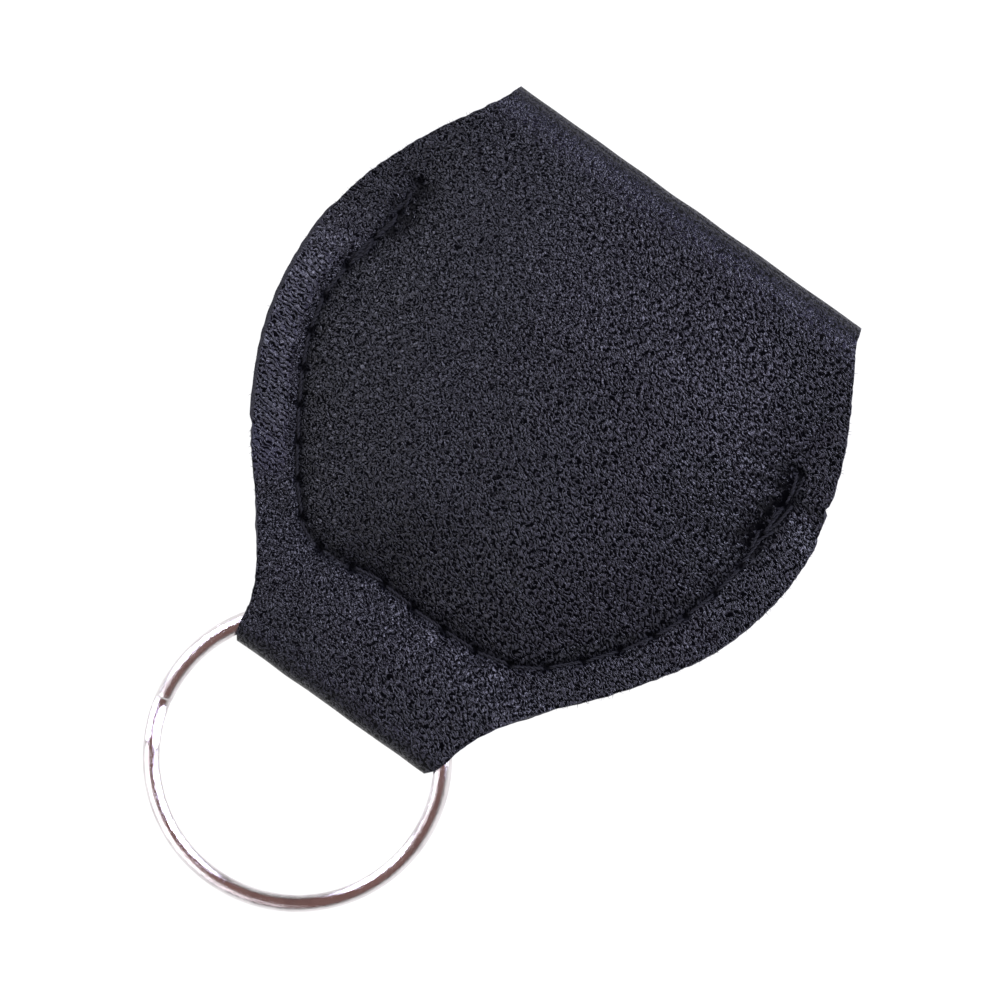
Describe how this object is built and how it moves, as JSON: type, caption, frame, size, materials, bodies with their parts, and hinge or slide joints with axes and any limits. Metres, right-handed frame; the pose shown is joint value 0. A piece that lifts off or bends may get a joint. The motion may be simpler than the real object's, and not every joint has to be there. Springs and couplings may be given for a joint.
{
  "type": "pick holder",
  "caption": "Key-fob pouch for plectrums: rounded folded leather with a sewn pocket, a closing back flap and a split ring through its neck.",
  "frame": {"origin": "middle of the outer box, on the surface that the holder lies on", "axes": "+Z out of the smooth front face, +Y from the split ring towards the top fold, +X to the right of the front"},
  "size_m": [0.0574, 0.0804, 0.0077],
  "materials": {
    "leather": "embossed black synthetic leather, satin",
    "thread": "twisted black polyester thread",
    "nickel": "polished nickel plate"
  },
  "bodies": {
    "pouch": {"front_panel": "leather", "back_panel": "leather", "needle_thread": "thread", "bobbin_thread": "thread"},
    "fold": {"top_roll": "leather"},
    "flap": {"flap": "leather"},
    "neck": {"neck_loop": "leather"},
    "ring": {"split_ring": "nickel"}
  },
  "joints": [
    {"name": "fold_open", "type": "hinge", "parent": "pouch", "child": "fold", "pos_m": [0, 0.03739, 0.00515], "axis": [1, 0, 0], "range_deg": [0, 90], "stiffness_Nm_per_rad": 0.003},
    {"name": "flap_open", "type": "hinge", "parent": "fold", "child": "flap", "pos_m": [0, 0.03739, 0.00045], "axis": [1, 0, 0], "range_deg": [0, 90], "stiffness_Nm_per_rad": 0.003},
    {"name": "neck_bend", "type": "hinge", "parent": "pouch", "child": "neck", "pos_m": [0, -0.00851, 0.0026], "axis": [1, 0, 0], "range_deg": [-60, 60], "stiffness_Nm_per_rad": 0.02},
    {"name": "ring_spin", "type": "hinge", "parent": "neck", "child": "ring", "pos_m": [0, -0.02521, 0.00198], "axis": [0, -0.0593, 0.9982], "continuous": true}
  ],
  "couplings": [
    {"joint": "flap_open", "follows": "fold_open", "ratio": 1}
  ]
}
